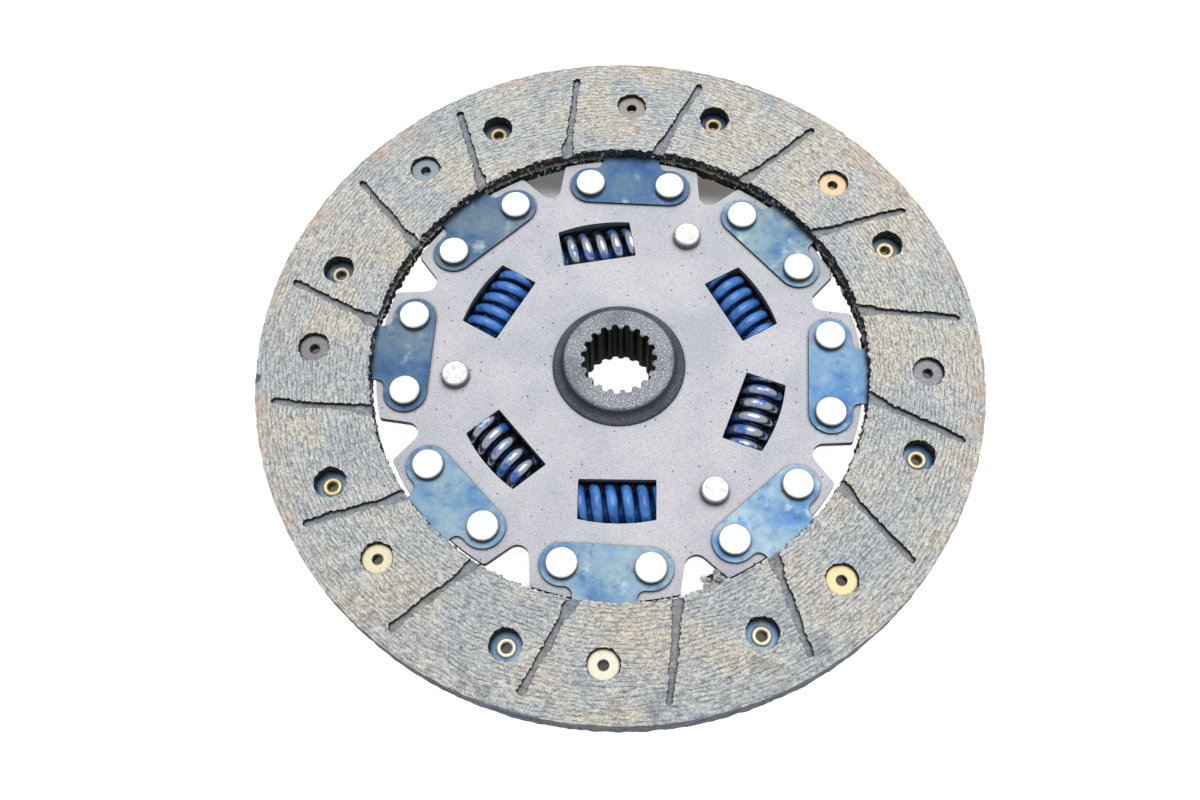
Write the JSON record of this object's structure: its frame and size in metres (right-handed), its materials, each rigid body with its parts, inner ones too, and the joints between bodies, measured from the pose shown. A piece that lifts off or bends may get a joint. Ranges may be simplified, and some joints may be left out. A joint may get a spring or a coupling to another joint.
{
  "type": "clutch disc",
  "caption": "Sprung-hub driven disc for a dry single-plate clutch: grooved friction rings riveted to waved spring-steel segments round a splined, torsion-damped hub.",
  "frame": {"origin": "on the disc's axis, at the hub's rear end face, on which the part rests", "axes": "+Z along the hub from its rear end to its nose, out of the front facing; +Y through the middle of cushion segment 1"},
  "size_m": [0.19, 0.19, 0.0195],
  "materials": {
    "friction_facing": "wound yarn bound in resin, ground flat, with torn edges",
    "rivet_brass": "formed, from bright to dulled",
    "zinc_plated_steel": "bright white zinc",
    "blued_spring_steel": "tempered blue oxide, patchy",
    "phosphated_steel": "thin grey phosphate with fine dark specks",
    "blue_painted_coil": "blue dip paint, worn dark on the crowns",
    "hub_steel": "sintered iron-base steel, fine sparkling grain",
    "washer_polymer": "glass-filled friction polymer",
    "spring_steel": "plain oiled spring steel"
  },
  "bodies": {
    "disc": {"facing_front": "friction_facing", "facing_rear": "friction_facing", "cushion_segment_1": "blued_spring_steel", "cushion_segment_2": "blued_spring_steel", "cushion_segment_3": "blued_spring_steel", "cushion_segment_4": "blued_spring_steel", "cushion_segment_5": "blued_spring_steel", "cushion_segment_6": "blued_spring_steel", "cushion_segment_7": "blued_spring_steel", "cushion_segment_8": "blued_spring_steel", "segment_rivets": "zinc_plated_steel", "facing_rivets_front": "rivet_brass", "facing_rivets_rear": "rivet_brass", "disc_plate": "phosphated_steel", "retainer_plate": "phosphated_steel", "stop_pin_1": "zinc_plated_steel", "stop_pin_2": "zinc_plated_steel", "stop_pin_3": "zinc_plated_steel", "damper_spring_1": "blue_painted_coil", "damper_spring_2": "blue_painted_coil", "damper_spring_3": "blue_painted_coil", "damper_spring_4": "blue_painted_coil", "damper_spring_5": "blue_painted_coil", "damper_spring_6": "blue_painted_coil", "friction_washer_front": "washer_polymer", "friction_washer_rear": "washer_polymer", "spring_washer": "spring_steel"},
    "hub": {"hub": "hub_steel"}
  },
  "joints": [
    {"name": "hub_twist", "type": "hinge", "parent": "disc", "child": "hub", "pos_m": [0, 0, 0.00975], "axis": [0, 0, 1], "range_deg": [-4, 4], "stiffness_Nm_per_rad": 800, "deforming": ["damper_spring_1", "damper_spring_2", "damper_spring_3", "damper_spring_4", "damper_spring_5", "damper_spring_6"]}
  ]
}
